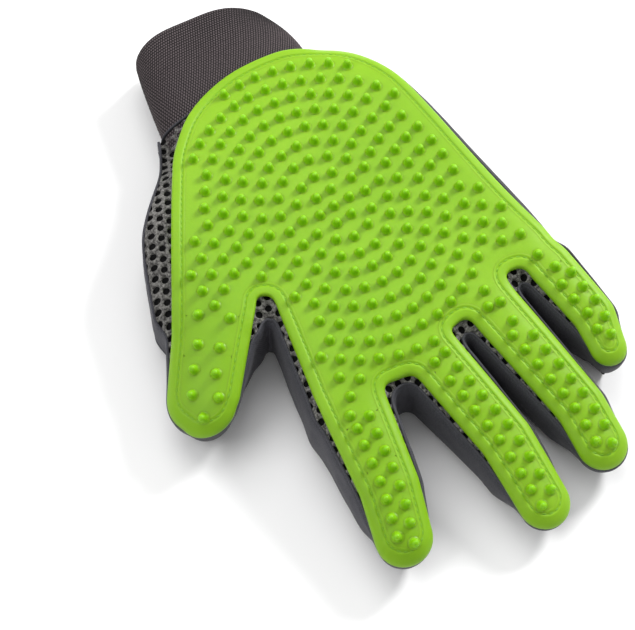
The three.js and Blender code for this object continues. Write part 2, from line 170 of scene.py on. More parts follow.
def digit_depth(p, digit, grow=0.0):
    """Distance to the edge of a digit's outline, positive inside."""
    best = np.full(len(p), -1e9)
    line, half = digit["line"], digit["half"] + grow
    for a, b, half_a, half_b in zip(line[:-1], line[1:], half[:-1], half[1:]):
        run = b - a
        t = np.clip(((p - a) @ run) / (run @ run), 0, 1)
        away = np.linalg.norm(p - a - t[:, None] * run, axis=1)
        best = np.maximum(best, half_a + (half_b - half_a) * t - away)
    return best


def rounded(outline, rounds=2):
    """Polygon with its corners cut again and again."""
    points = np.array(outline, float)
    for _ in range(rounds):
        following = np.roll(points, -1, axis=0)
        points = np.stack([points * 0.75 + following * 0.25, points * 0.25 + following * 0.75], 1)
        points = points.reshape(-1, 2)
    return points


def polygon_depth(p, outline):
    """Distance to the edge of a polygon, positive inside."""
    best = np.full(len(p), 1e9)
    inside = np.zeros(len(p), bool)
    for a, b in zip(np.roll(outline, 1, axis=0), outline):
        run = b - a
        t = np.clip(((p - a) @ run) / max(run @ run, 1e-12), 0, 1)
        best = np.minimum(best, np.linalg.norm(p - a - t[:, None] * run, axis=1))
        if a[1] != b[1]:
            crosses = (a[1] > p[:, 1]) != (b[1] > p[:, 1])
            inside ^= crosses & (p[:, 0] < a[0] + run[0] * (p[:, 1] - a[1]) / run[1])
    return np.where(inside, best, -best)


def smooth_max(a, b, k):
    h = np.clip(0.5 + 0.5 * (a - b) / k, 0, 1)
    return b + (a - b) * h + k * h * (1 - h)


pad_palm, body_palm = rounded(PAD_PALM), rounded(BODY_PALM)


def pad_field(p):
    palm = polygon_depth(p, pad_palm)
    return np.max([smooth_max(palm, digit_depth(p, d), FORK_ROUNDING) for d in DIGITS.values()], axis=0)


def body_field(p):
    palm = polygon_depth(p, body_palm)
    fields = [smooth_max(palm, digit_depth(p, d, d["lap"]), FORK_ROUNDING) for d in DIGITS.values()]
    return np.max(fields, axis=0)


def lengths_along(line):
    """How far along a line each of its points lies."""
    return np.r_[0, np.cumsum(np.linalg.norm(np.diff(line, axis=0), axis=1))]


def sampled(at, lengths, values):
    """Pairs of values, known at some lengths along a line, at other lengths."""
    return np.c_[np.interp(at, lengths, values[:, 0]), np.interp(at, lengths, values[:, 1])]


def spaced(line, step):
    """Closed line with its points at even steps."""
    closed = np.vstack([line, line[:1]])
    lengths = lengths_along(closed)
    at = np.linspace(0, lengths[-1], int(round(lengths[-1] / step)), endpoint=False)
    return sampled(at, lengths, closed)


def directions(line):
    """Unit directions ahead and inwards at the points of a closed line that runs anticlockwise."""
    ahead = np.roll(line, -1, axis=0) - np.roll(line, 1, axis=0)
    ahead /= np.linalg.norm(ahead, axis=1)[:, None]
    return ahead, np.c_[-ahead[:, 1], ahead[:, 0]]


class Outline:
    """Closed line round a plan field, anticlockwise, with inward normals and a quick signed distance."""

    def __init__(self, field, step=OUTLINE_STEP, cell=0.6):
        line = self.trace(field, cell)
        for _ in range(3):
            line = 0.5 * line + 0.25 * (np.roll(line, 1, axis=0) + np.roll(line, -1, axis=0))
        self.points = spaced(line, step)
        _, self.inward = directions(self.points)
        self.dense = spaced(self.points, step / 2)
        self.dense_ahead, self.dense_inward = directions(self.dense)
        self.tree = kdtree.KDTree(len(self.dense))
        for i, (x, y) in enumerate(self.dense):
            self.tree.insert((x, y, 0), i)
        self.tree.balance()

    @staticmethod
    def trace(field, cell):
        """Marching squares: the longest zero line of the field."""
        xs, ys = np.arange(*TRACE_X, cell), np.arange(*TRACE_Y, cell)
        grid_x, grid_y = np.meshgrid(xs, ys)
        values = field(np.c_[grid_x.ravel(), grid_y.ravel()]).reshape(grid_x.shape) + 1e-9
        links = {}

        def crossing(j, i, dj, di):
            a, b = values[j, i], values[j + dj, i + di]
            t = a / (a - b)
            return (xs[i] + cell * di * t, ys[j] + cell * dj * t)

        inside = values > 0
        corners = [inside[:-1, :-1], inside[:-1, 1:], inside[1:, 1:], inside[1:, :-1]]
        mixed = np.any(corners, axis=0) & ~np.all(corners, axis=0)
        for j, i in zip(*np.nonzero(mixed)):
            edges = [(j, i, 0, 1), (j, i + 1, 1, 0), (j + 1, i, 0, 1), (j, i, 1, 0)]
            cut = [k for k in edges if inside[k[0], k[1]] != inside[k[0] + k[2], k[1] + k[3]]]
            for a, b in zip(cut[::2], cut[1::2]):
                links.setdefault(a, []).append(b)
                links.setdefault(b, []).append(a)
        lines, seen = [], set()
        for start in links:
            if start in seen:
                continue
            line, here = [], start
            while here is not None:
                seen.add(here)
                line.append(crossing(*here))
                here = next((k for k in links[here] if k not in seen), None)
            lines.append(line)
        points = np.array(max(lines, key=len))
        after = np.roll(points, -1, axis=0)
        area = (points[:, 0] * after[:, 1] - after[:, 0] * points[:, 1]).sum()
        return points if area > 0 else points[::-1]

    def depth(self, p):
        """Signed distance to the line, positive inside."""
        nearest = np.array([self.tree.find((x, y, 0))[1] for x, y in p], int)
        away = p - self.dense[nearest]
        across = (away * self.dense_inward[nearest]).sum(1)
        along = np.abs((away * self.dense_ahead[nearest]).sum(1))
        rest = np.maximum(along - OUTLINE_STEP / 4, 0)
        return np.where(across > 0, 1, -1) * np.hypot(across, rest)


pad_edge = Outline(pad_field)
body_edge = Outline(body_field)

# ---- heights, mm


def smoothstep(low, high, value):
    t = np.clip((value - low) / (high - low), 0, 1)
    return t * t * (3 - 2 * t)


def value_noise(p, scale, seed):
    """Smooth noise from -1 to 1 over points of any dimension, scale in mm."""
    q = p / scale + seed * 17.31
    base = np.floor(q)
    blend = q - base
    blend = blend * blend * (3 - 2 * blend)
    total = np.zeros(len(p))
    for corner in np.ndindex(*(2,) * p.shape[1]):
        at = base + corner
        h = np.sin(at @ np.array([127.1, 311.7, 74.7])[: p.shape[1]] + seed) * 43758.5453
        weight = np.prod(np.where(np.array(corner) == 1, blend, 1 - blend), axis=1)
        total += weight * (2 * (h - np.floor(h)) - 1)
    return total


def droop(past, drop, start, length, power, most=1.0):
    return drop * np.clip((past - start) / length, 0, most) ** power


def crest(p):
    """Height of the pad's face before its edges roll down."""
    x, y = p.T
    return PALM_HEIGHT - droop(-y, *TIP_DROOP) - droop(-x, *THUMB_DROOP) - droop(y, *HEEL_DROOP, most=1.2)


def roll(depth):
    return np.clip(1 - depth / ROLL_WIDTH, 0, 1.2) ** 2


def edge_turn(depth):
    return np.clip(1 - depth / EDGE_WIDTH, 0, 1.3) ** 2


CUFF_MIDDLE, CUFF_HALF_HEIGHT = 500 * (cuff_low.z + cuff_high.z), 500 * (cuff_high.z - cuff_low.z)


def cuff_share(y):
    """Share of the way from the seam to the open end."""
    return np.clip((y - WRIST_Y) / (CUFF_PLAN_END - WRIST_Y), 0, 1)


def cuff_span(y):
    """Middle and half width of the cuff at y."""
    t = cuff_share(y)
    half = (CUFF_PLAN_X[1] - CUFF_PLAN_X[0]) / 2
    belly = CUFF_BELLY * np.sin(math.pi * t)
    return sum(CUFF_PLAN_X) / 2 + CUFF_LEAN * t + belly, half * (1 + (CUFF_TAPER - 1) * t) + belly


def cuff_rise(p):
    """Half height of the cuff over its middle plane at a plan point."""
    centre, half = cuff_span(p[:, 1])
    across = np.clip(np.abs(p[:, 0] - centre) / half, 0, SECTION_LIMIT)
    return CUFF_HALF_HEIGHT * (1 - across**SECTION_POWER) ** (1 / SECTION_POWER)


def pad_skin(p):
    """The pad's face, with the soft swell of rubber on cloth."""
    depth = body_edge.depth(p)
    swell = 0.25 * value_noise(p, 23.0, 1) + 0.1 * value_noise(p, 9.0, 2)
    rolled = PALM_CROWN * roll(depth) + EDGE_TURN["palm"] * edge_turn(depth)
    return crest(p) - rolled + swell * np.clip(depth / 10, 0, 1)


def palm_top(p):
    """Outer face of the palm panel, drawn in to the cuff at the wrist."""
    free = pad_skin(p) - PAD_THICKNESS - PAD_LIFT
    on_cuff = np.minimum(CUFF_MIDDLE + cuff_rise(p) + LAP_ON_CUFF, free)
    return free + (on_cuff - free) * smoothstep(WRIST_START, WRIST_Y, p[:, 1])


def back_face(p):
    """Outer face of the back panel."""
    depth = body_edge.depth(p)
    free = BACK_ROLL * roll(depth) + EDGE_TURN["back"] * edge_turn(depth)
    on_cuff = np.maximum(CUFF_MIDDLE - cuff_rise(p) - LAP_ON_CUFF, free)
    return free + (on_cuff - free) * smoothstep(WRIST_START, WRIST_Y, p[:, 1])


# ---- zones



def reach(p, digit):
    """How far points lie beyond a digit's knuckle crease."""
    return (p - digit["knuckle"]) @ digit["square"]


def beside(p, digit):
    """How far points lie inside the strip along a digit's centre line."""
    side = np.array([-digit["square"][1], digit["square"][0]])
    along, stations = reach(p, digit), reach(digit["line"], digit)
    centre = np.interp(along, stations, (digit["line"] - digit["knuckle"]) @ side)
    width = np.interp(along, stations, digit["half"] + digit["lap"])
    return width + digit["spare"] - np.abs((p - digit["knuckle"]) @ side - centre)


def split_of(digit):
    """Where the digit's two pieces meet, half way from the knuckle to the bend."""
    return digit["bend"] / 2


def zone_depth(p, zone):
    """Distance inside a zone: "palm", "NAME_base" or "NAME_tip"."""
    if zone == "palm":
        beyond = [np.minimum(reach(p, d) + SPLIT_BEFORE_KNUCKLE, beside(p, d)) for d in DIGITS.values()]
        return -np.max(beyond, axis=0)
    name, part = zone.rsplit("_", 1)
    digit = DIGITS[name]
    along = reach(p, digit)
    if part == "base":
        return np.min([along + SPLIT_BEFORE_KNUCKLE, split_of(digit) - along, beside(p, digit)], axis=0)
    return np.minimum(along - split_of(digit), beside(p, digit))


def seam_inset(p):
    """How far the seams lie inside the widest outline: less at the thumb's heel, more at the other side."""
    thumb_side = smoothstep(*WRAP_Y, p[:, 1]) * smoothstep(*WRAP_X, p[:, 0])
    little_side = smoothstep(*BAND_X, p[:, 0]) * smoothstep(*BAND_Y, p[:, 1])
    return SEAM_INSET - WRAP * thumb_side + BAND * little_side


def tuck(p):
    """How far the back panel's seam draws in under the digits' ends."""
    share = np.zeros(len(p))
    for name, digit in DIGITS.items():
        along = np.minimum(reach(p, digit), TUCK_SIDE * beside(p, digit))
        end = reach(digit["line"][-1:], digit)[0]
        start = TUCK_THUMB if name == "thumb" else end - TUCK_LENGTH
        share = np.maximum(share, smoothstep(start, end, along))
    return TUCK * share


ZONES = ["palm"] + [f"{name}_{part}" for name in DIGITS for part in ("base", "tip")]

# ---- mesh helpers


def linked(name, data):
    """New object in the scene."""
    made = bpy.data.objects.new(name, data)
    bpy.context.scene.collection.objects.link(made)
    return made


class Parts:
    """Collects vertices and faces, in plan millimetres, of several pieces for one mesh."""

    def __init__(self):
        self.verts, self.faces, self.kinds, self.uvs, self.count = [], [], [], [], 0

    def add(self, verts, faces, kind=0, uv=None):
        verts = np.array(verts, float)
        self.verts.append(verts)
        self.faces.extend([[i + self.count for i in f] for f in faces])
        self.kinds.extend([kind] * len(faces))
        self.uvs.append(verts[:, :2] if uv is None else np.array(uv, float))
        self.count += len(verts)

    def build(self, name, materials):
        """Mesh object of all the pieces."""
        mesh = bpy.data.meshes.new(name)
        faces = [list(map(int, f)) for f in self.faces]
        mesh.from_pydata(to_frame(np.vstack(self.verts)).tolist(), [], faces)
        mesh.validate(clean_customdata=False)
        for material in materials:
            mesh.materials.append(material)
        if len(mesh.polygons) == len(faces):
            mesh.polygons.foreach_set("material_index", np.array(self.kinds, np.int32))
        mesh.polygons.foreach_set("use_smooth", np.ones(len(mesh.polygons), bool))
        corner = np.zeros(len(mesh.loops), np.int32)
        mesh.loops.foreach_get("vertex_index", corner)
        uv = np.vstack(self.uvs)[corner] / 1000
        mesh.uv_layers.new(name="weave").data.foreach_set("uv", uv.astype(np.float32).ravel())
        mesh.update()
        return linked(name, mesh)


def strip_faces(rows, columns, closed=False, flip=False):
    """Quads over rows x columns of vertices."""
    j, i = np.meshgrid(np.arange(rows - 1), np.arange(columns if closed else columns - 1), indexing="ij")
    after = (i + 1) % columns
    low, high = j * columns, (j + 1) * columns
    quads = np.stack([low + i, low + after, high + after, high + i], -1).reshape(-1, 4)
    return quads[:, ::-1] if flip else quads


def gradient(field, p, h=0.05):
    east, north = np.array([h, 0]), np.array([0, h])
    slope = np.c_[field(p + east) - field(p - east), field(p + north) - field(p - north)] / (2 * h)
    return slope / np.maximum(np.linalg.norm(slope, axis=1), 0.3)[:, None]


def snap(p, field, chosen, rounds=3):
    """Moves the chosen points onto the field's zero line."""
    moved = p.copy()
    for _ in range(rounds):
        here = moved[chosen]
        moved[chosen] = here - field(here)[:, None] * gradient(field, here)
    return moved


def grid(xs, ys):
    """Plan points and quads of a grid."""
    grid_x, grid_y = np.meshgrid(xs, ys)
    return np.c_[grid_x.ravel(), grid_y.ravel()], strip_faces(len(ys), len(xs))


def grid_patch(field, step, low, high):
    """Plan points and quads of a square grid inside a field, its border pulled onto the field's edge."""
    p, quads = grid(np.arange(low[0], high[0] + step, step), np.arange(low[1], high[1] + step, step))
    quads = quads[field(p[quads].mean(1)) > 0]
    used, quads = np.unique(quads, return_inverse=True)
    quads = quads.reshape(-1, 4)
    p = p[used]
    edges = np.sort(np.vstack([quads[:, [k, (k + 1) % 4]] for k in range(4)]), axis=1)
    kinds, uses = np.unique(edges, axis=0, return_counts=True)
    border = np.unique(kinds[uses == 1])
    return snap(p, field, border), quads


def zone_bounds(field_edge, zone):
    """Plan box of the part of an outline's inside that lies in a zone."""
    inside = field_edge.points[zone_depth(field_edge.points, zone) > -3]
    return inside.min(0) - 2, inside.max(0) + 2


def region(edge, inset, zone, *limits):
    """Field of the part of a zone that lies at least inset(p) inside an outline, and inside other fields."""
    def field(p):
        inside = [edge.depth(p) - inset(p), zone_depth(p, zone)]
        return np.min(inside + [limit(p) for limit in limits], axis=0)
    return field


# ---- materials


class Shader:
    """Small builder for one procedural material."""

    def __init__(self, name, **surface):
        self.material = bpy.data.materials.new(name)
        self.material.use_nodes = True
        self.tree = self.material.node_tree
        self.bsdf = self.tree.nodes["Principled BSDF"]
        for socket, value in surface.items():
            self.bsdf.inputs[socket.replace("_", " ")].default_value = value

    def set(self, target, value):
        if isinstance(value, bpy.types.NodeSocket):
            self.tree.links.new(value, target)
        else:
            target.default_value = value

    def node(self, kind, settings=None, **inputs):
        """New node; an input is named by its socket, or i0, i1, ... by its place."""
        made = self.tree.nodes.new("ShaderNode" + kind)
        for key, value in (settings or {}).items():
            setattr(made, key, value)
        for socket, value in inputs.items():
            by_place = socket[0] == "i" and socket[1:].isdigit()
            self.set(made.inputs[int(socket[1:]) if by_place else socket.replace("_", " ")], value)
        return made

    def place(self):
        return self.node("TexCoord").outputs["Object"]

    def weave(self):
        return self.node("UVMap", {"uv_map": "weave"}).outputs["UV"]

    def noise(self, at, scale, detail=2.0, roughness=0.5):
        made = self.node("TexNoise", Vector=at, Scale=scale, Detail=detail, Roughness=roughness)
        return made.outputs["Fac"]

    def math(self, operation, a, b=0.0, c=0.0):
        return self.node("Math", {"operation": operation}, i0=a, i1=b, i2=c).outputs[0]

    def ramp(self, value, *stops):
        made = self.node("ValToRGB", Fac=value)
        elements = made.color_ramp.elements
        for i, (at, colour) in enumerate(stops):
            element = elements[i] if i < 2 else elements.new(at)
            element.position = at
            element.color = (*colour, 1) if isinstance(colour, tuple) else (colour, colour, colour, 1)
        return made.outputs["Color"]

    def mix(self, factor, a, b, blend="MIX"):
        made = self.node("Mix", {"data_type": "RGBA", "blend_type": blend}, Factor=factor)
        for socket, value in zip(made.inputs[6:8], (a, b)):
            self.set(socket, (*value, 1) if isinstance(value, tuple) else value)
        return made.outputs[2]

    def colour(self, value):
        self.set(self.bsdf.inputs["Base Color"], value)

    def roughness(self, value):
        self.set(self.bsdf.inputs["Roughness"], value)

    def bump(self, height, distance, strength=1.0):
        bumped = self.node("Bump", Height=height, Distance=distance, Strength=strength)
        self.set(self.bsdf.inputs["Normal"], bumped.outputs["Normal"])


RUBBER = {"IOR": 1.45, "Subsurface_Radius": (0.7, 1.0, 0.08)}  # lets green light through
GRAIN = 900.0


def pad_rubber():
    s = Shader("pad_rubber", Specular_IOR_Level=0.22, Subsurface_Weight=0.4, Subsurface_Scale=0.0015,
               **RUBBER)
    at = s.place()
    broad, fine = s.noise(at, 22.0, 3), s.noise(at, GRAIN, 3)
    green = s.ramp(broad, (0.35, (0.188, 0.375, 0.009)), (0.65, (0.218, 0.415, 0.015)))
    s.colour(s.mix(s.math("MULTIPLY", fine, 0.25), green, (0.152, 0.335, 0.004)))
    s.roughness(s.math("MULTIPLY_ADD", broad, 0.16, 0.36))
    s.bump(fine, 0.00012, 0.5)
    return s.material


def stitch_thread():
    s = Shader("green_thread", Roughness=0.6)
    twist = s.node("TexWave", {"bands_direction": "DIAGONAL"}, Vector=s.place(), Scale=GRAIN, Distortion=1.0)
    s.colour(s.ramp(twist.outputs["Fac"], (0.0, (0.13, 0.33, 0.004)), (1.0, (0.20, 0.45, 0.012))))
    s.bump(twist.outputs["Fac"], 0.00008)
    return s.material


def air_mesh_yarn():
    """Knitted polyester: dark ground with pale filaments."""
    s = Shader("air_mesh", Roughness=0.8, Specular_IOR_Level=0.3, Sheen_Weight=0.1, Sheen_Roughness=0.5)
    at, twist, dark = s.place(), 1400.0, (0.022, 0.020, 0.018)
    fibre = s.node("TexVoronoi", {"feature": "F1"}, Vector=at, Scale=twist).outputs["Distance"]
    streak = s.noise(at, twist * 0.7, 4, 0.7)
    thread = s.ramp(streak, (0.38, dark), (0.66, (0.34, 0.33, 0.31)))
    yarn = s.mix(s.math("MULTIPLY", s.noise(at, 60.0), 0.35), thread, dark)
    s.colour(s.mix(0.8, yarn, s.ramp(fibre, (0.0, 1.0), (0.75, 0.55)), "MULTIPLY"))
    s.bump(s.math("ADD", fibre, streak), 0.00022)
    return s.material


def stretch_cloth():
    """Lycra with a fine diagonal knit."""
    s = Shader("stretch_cloth", Roughness=0.7, Specular_IOR_Level=0.3, Sheen_Weight=0.06,
               Sheen_Roughness=0.45)
    turned = s.node("Mapping", Vector=s.weave(), Rotation=(0, 0, 0.6)).outputs["Vector"]
    ribs = s.node("TexWave", {"wave_profile": "SIN"}, Vector=turned, Scale=420.0, Distortion=0.4)
    at = s.place()
    flecks = s.noise(at, 2600.0)
    ground = s.ramp(flecks, (0.3, (0.021, 0.021, 0.026)), (0.7, (0.060, 0.060, 0.073)))
    s.colour(s.mix(s.math("MULTIPLY", s.noise(at, 45.0, 3), 0.5), ground, (0.042, 0.041, 0.049)))
    s.bump(s.math("MULTIPLY_ADD", ribs.outputs["Fac"], 0.6, s.math("MULTIPLY", flecks, 0.4)), 0.00011, 0.8)
    return s.material


def elastic_cloth():
    """Woven elastic in dark plum grey with pale flecks; each bump of the weave is painted pale at its crest,
    a painted highlight, and near black in the grooves, painted shade.
    """
    s = Shader("elastic_cloth", Roughness=0.85, Specular_IOR_Level=0.3, Sheen_Weight=0.04,
               Sheen_Roughness=0.4)
    at = s.place()
    weave = s.node("SeparateXYZ", Vector=s.weave()).outputs
    along = s.math("DIVIDE", weave["Y"], WEAVE["along"] / 1000)
    around = s.math("DIVIDE", weave["X"], WEAVE["around"] / 1000)
    turn = s.math("MULTIPLY_ADD", s.math("FLOOR", along), WEAVE["shift"], around)
    wave = s.math("MULTIPLY_ADD", s.math("COSINE", s.math("MULTIPLY", turn, 2 * math.pi)), 0.5, 0.5)
    row = s.math("SINE", s.math("MULTIPLY", s.math("FRACT", along), math.pi))
    flecks = s.noise(at, 2200.0, 3, 0.6)
    # pale where the weave's bumps stand highest: real flecks, with a painted highlight on the crests and
    # painted shade in the grooves
    pale = s.math("MULTIPLY", s.math("MULTIPLY", wave, row), s.math("MULTIPLY_ADD", flecks, 1.6, -0.1))
    ground = s.ramp(pale, (0.10, (0.006, 0.0045, 0.005)), (0.62, (0.112, 0.090, 0.094)))
    s.colour(s.mix(s.math("MULTIPLY", s.noise(at, 70.0), 0.3), ground, (0.026, 0.020, 0.022)))
    s.bump(flecks, 0.00012)
    return s.material


def mottled(name, colour_noise, low, high, grain_noise, relief, gloss=None, **surface):
    """Colour between two stops, with a fine grain in its relief and, if gloss is given, in its roughness."""
    s = Shader(name, **surface)
    at = s.place()
    grain = s.noise(at, *grain_noise)
    s.colour(s.ramp(s.noise(at, *colour_noise), low, high))
    if gloss:
        s.roughness(s.math("MULTIPLY_ADD", grain, *gloss))
    s.bump(grain, *relief)
    return s.material


def tape(name, dark, light):
    stops = (0.35, dark), (0.65, light)
    return mottled(name, (1800.0, 3), *stops, (2500.0, 2), (0.0001,), Roughness=0.7)


PAD, THREAD, MESH, STRETCH, ELASTIC = \
    pad_rubber(), stitch_thread(), air_mesh_yarn(), stretch_cloth(), elastic_cloth()
NUB_PAINTED_GLOW = mottled(  # the pad's rubber on the nubs, painted brighter and more saturated than the pad: painted light shining through the nubs
    "nub_rubber_painted_glow", (GRAIN, 3), (0.3, (0.175, 0.42, 0.002)), (0.7, (0.205, 0.46, 0.003)),
    (GRAIN, 3), (0.00012, 0.5),
    Roughness=0.4, Specular_IOR_Level=0.3, Subsurface_Weight=0.5, Subsurface_Scale=0.002, **RUBBER)
# near-black sheet under the air mesh and inside the cuff: painted shade of the glove's inside, darker than
# any real cloth
SHADE_SHEET = mottled(
    "shade_sheet_painted", (900.0, 3), (0.3, 0.002), (0.7, 0.007), (1500.0, 2), (0.0001,),
    Roughness=0.95, Specular_IOR_Level=0.1)
TAB = mottled(
    "tab_rubber", (50.0, 3), (0.3, (0.062, 0.050, 0.038)), (0.7, (0.078, 0.064, 0.050)),
    (1200.0, 3), (0.00006,), gloss=(0.2, 0.42))
HOOKS = tape("hook_tape", 0.012, 0.05)
LOOPS = tape("loop_tape", (0.010, 0.010, 0.011), (0.045, 0.043, 0.045))

# ---- moving with the bodies


BLEND_HALF = 6.0  # at most this far on either side of a joint, for the ends of the stretch across it


def hang(piece, zone):
    """Rides a palm piece on the palm; a digit piece only has its transform baked into its mesh, and is not
    bent.
    """
    if zone == "palm":
        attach(piece, "palm")
        return
    name, part = zone.rsplit("_", 1)
    digit = DIGITS[name]
    offset = 0.0 if part == "base" else digit["bend"]
    half = min(SPLIT_BEFORE_KNUCKLE if part == "base" else digit["bend"] - split_of(digit), BLEND_HALF)
    ends = [digit["knuckle"] + digit["square"] * (offset + side * half) for side in (-1, 1)]
    start, end = (to_frame([[*e, PALM_HEIGHT]])[0] for e in ends)
    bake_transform(piece)


def runs(edge, zone, inset, *limits):
    """Stretches of an outline in a zone, each as points at the inset and the inward directions there."""
    points = edge.points + edge.inward * np.broadcast_to(inset(edge.points), len(edge.points))[:, None]

    def depth(p):
        return np.min([zone_depth(p, zone), *(limit(p) for limit in limits)], axis=0)

    first = int(np.argmin(depth(points)))
    points = np.roll(points, -first, axis=0)
    inward = np.roll(edge.inward, -first, axis=0)
    inside = depth(points)
    found, i, count = [], 0, len(points)
    while i < count:
        if inside[i] <= 0:
            i += 1
            continue
        j = i
        while j + 1 < count and inside[j + 1] > 0:
            j += 1
        line, normals = list(points[i:j + 1]), list(inward[i:j + 1])
        for outer, inner, at_start in (((i - 1) % count, i, True), ((j + 1) % count, j, False)):
            low, high = 0.0, 1.0
            for _ in range(12):
                t = (low + high) / 2
                p = points[inner] + (points[outer] - points[inner]) * t
                low, high = (t, high) if depth(p[None])[0] > 0 else (low, t)
            n = inward[inner] + (inward[outer] - inward[inner]) * low
            line.insert(0, p) if at_start else line.append(p)
            normals.insert(0, n) if at_start else normals.append(n)
        found.append((np.array(line), np.array(normals)))
        i = j + 1
    return found


def respaced(line, normals, step):
    """A run resampled at even steps, ends kept."""
    lengths = lengths_along(line)
    at = np.linspace(0, lengths[-1], max(int(round(lengths[-1] / step)), 2) + 1)
    turned = sampled(at, lengths, normals)
    return sampled(at, lengths, line), turned / np.linalg.norm(turned, axis=1)[:, None], at


# ---- the moulded pad

RIM_PROFILE = [  # distance in from the edge, height over the pad's face
    (0.30, -1.85), (0.06, -1.45), (0.0, -0.9), (0.02, -0.45), (0.12, -0.12), (0.32, 0.1), (0.6, 0.2),
    (0.95, 0.25), (1.5, 0.25), (2.3, 0.23), (2.7, 0.2), (2.92, 0.12), (3.08, 0.0), (3.22, -0.14),
    (3.36, -0.2), (3.54, -0.2), (3.68, -0.14), (3.84, -0.04), (4.05, 0.04), (4.3, 0.05), (4.6, 0.0),
    (4.75, -0.12), (4.9, -0.5),
]
FACE_INSET = 4.6
FACE_STEP = 0.95
GROOVE_INSET = 3.45
STITCH_PITCH, STITCH_SINK = 2.3, 0.1
NUB_PROFILE = [  # radius, height
    (2.35, -0.25), (2.0, 0.03), (1.72, 0.18), (1.53, 0.5), (1.42, 0.95), (1.34, 1.4), (1.25, 1.85),
    (1.13, 2.25), (0.97, 2.55), (0.74, 2.79), (0.46, 2.93), (0.16, 2.98),
]
NUB_SIDES = 18
NUB_RIM = 6.0  # palm nubs keep this far from the pad's edge
DIGIT_NUB_RIM = 4.9
NUB_CLEAR = 4.6  # and nubs this far from each other
NUB_JITTER = 0.2
NUB_LEAN = 0.05
NUB_CENTRE, NUB_PITCH = np.array([24.0, 23.5]), np.array([6.0, 6.6])
NUB_TURNS = [0, -6, -2, -8, -2, 1, 2, -3, 0, -1, 1, 0]  # of each ring, degrees
THUMB_NUBS, FINGER_NUBS = (4.1, 4.0), (3.1, 2.7)  # pitch along the digit, and how far to its sides


def surface_normals(p, height, h=0.15):
    east = height(p + [h, 0]) - height(p - [h, 0])
    north = height(p + [0, h]) - height(p - [0, h])
    n = np.c_[-east / (2 * h), -north / (2 * h), np.ones(len(p))]
    return n / np.linalg.norm(n, axis=1)[:, None]


def nub_rings():
    """Palm nubs in widening oval rings round the middle of the hand: ring n has 6 n nubs."""
    placed = [NUB_CENTRE]
    for ring, degrees in enumerate(NUB_TURNS, 1):
        for k in range(6 * ring):
            angle = math.radians(degrees) + 2 * math.pi * k / (6 * ring)
            placed.append(NUB_CENTRE + ring * NUB_PITCH * [math.cos(angle), math.sin(angle)])
    return np.array(placed)


def nub_columns(digit, pitch, sway, first=0.5):
    """Digit nubs in two staggered columns along its centre line, which close up towards its end."""
    line = digit["line"]
    lengths = lengths_along(line)
    at = np.arange(first, lengths[-1] + digit["half"][-1] - DIGIT_NUB_RIM, pitch)
    beyond = np.clip(at - lengths[-1], 0, None)
    end = (line[-1] - line[-2]) / np.linalg.norm(line[-1] - line[-2])
    centre = sampled(at, lengths, line) + beyond[:, None] * end
    room = np.interp(at, lengths, digit["half"]) - DIGIT_NUB_RIM
    swing = np.clip(np.hypot(room, beyond) - beyond, 0, sway) * np.where(np.arange(len(at)) % 2 == 0, 1, -1)
    return centre + swing[:, None] * np.array([-end[1], end[0]])


def all_nubs():
    placed = nub_rings()
    palm = pad_edge.depth(placed) > NUB_RIM
    for digit in DIGITS.values():
        palm &= ~((reach(placed, digit) > -2) & (beside(placed, digit) > 0))
    groups = [placed[palm]]
    for name, digit in DIGITS.items():
        column = nub_columns(digit, *(THUMB_NUBS if name == "thumb" else FINGER_NUBS))
        groups.append(column[pad_edge.depth(column) > DIGIT_NUB_RIM - 0.6])
    nubs = []
    for p in np.vstack(groups):
        if all(np.hypot(*(p - q)) > NUB_CLEAR for q in nubs):
            nubs.append(p)
    return np.array(nubs)


EAST, NORTH, UP = np.eye(3)
NUBS = all_nubs()
NUBS = NUBS + rng.uniform(-NUB_JITTER, NUB_JITTER, NUBS.shape)


def nub_mesh(at, normal, lean):
    """One domed nub, turned to the pad's face."""
    across = np.cross(normal, EAST)
    across /= np.linalg.norm(across)
    along = np.cross(across, normal)
    angles = np.arange(NUB_SIDES) * 2 * math.pi / NUB_SIDES
    circle = np.cos(angles)[:, None] * along + np.sin(angles)[:, None] * across
    rows = [at + radius * circle + height * (normal + lean * height / 3) for radius, height in NUB_PROFILE]
    top = at + (NUB_PROFILE[-1][1] + 0.02) * (normal + lean)
    faces = strip_faces(len(NUB_PROFILE), NUB_SIDES, closed=True, flip=True)
    last, count = (len(NUB_PROFILE) - 1) * NUB_SIDES, len(NUB_PROFILE) * NUB_SIDES
    cap = [(last + (k + 1) % NUB_SIDES, last + k, count) for k in range(NUB_SIDES)]
    return np.vstack([*rows, top[None]]), [*faces, *cap]


def end_caps(rows, columns):
    """Faces that close both ends of a round strip."""
    return [list(range(columns))[::-1], list(range((rows - 1) * columns, rows * columns))]


def stitch_mesh(at, along, up, length=1.6, width=0.42, height=0.3):
    """One stitch: a short rounded bar that dips at both ends."""
    side = np.cross(up, along)
    verts, sections, sides = [], 7, 8
    for t in np.linspace(-1, 1, sections):
        size = math.sqrt(max(1 - abs(t) ** 2.4, 0.06)) / 2
        middle = at + along * t * length / 2 + up * (height * 0.35 * (1 - t * t) - 0.12)
        for angle in np.arange(sides) * 2 * math.pi / sides:
            verts.append(middle + size * (side * math.cos(angle) * width + up * math.sin(angle) * height))
    return verts, [*strip_faces(sections, sides, closed=True), *end_caps(sections, sides)]


